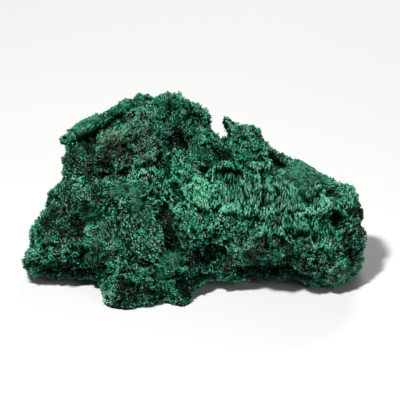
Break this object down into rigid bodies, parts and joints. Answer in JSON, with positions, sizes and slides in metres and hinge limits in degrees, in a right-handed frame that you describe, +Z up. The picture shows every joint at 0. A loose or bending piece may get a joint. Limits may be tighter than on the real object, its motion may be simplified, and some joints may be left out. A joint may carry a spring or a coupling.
{
  "type": "malachite specimen",
  "caption": "Hand specimen of fibrous green malachite, a rough lumpy stone with clefts, ledges and a foot, that stands on its own underside.",
  "frame": {"origin": "on the ground under the middle of the stone's bounding box", "axes": "+X along the longest side, from the tapered left end to the blunt right end of the show face; -Y out of the show face; +Z up"},
  "size_m": [0.1204, 0.065, 0.0608],
  "materials": {
    "malachite": "matt fibrous green, silky on the sides of the fibres"
  },
  "bodies": {
    "root": {"malachite": "malachite"}
  },
  "joints": []
}
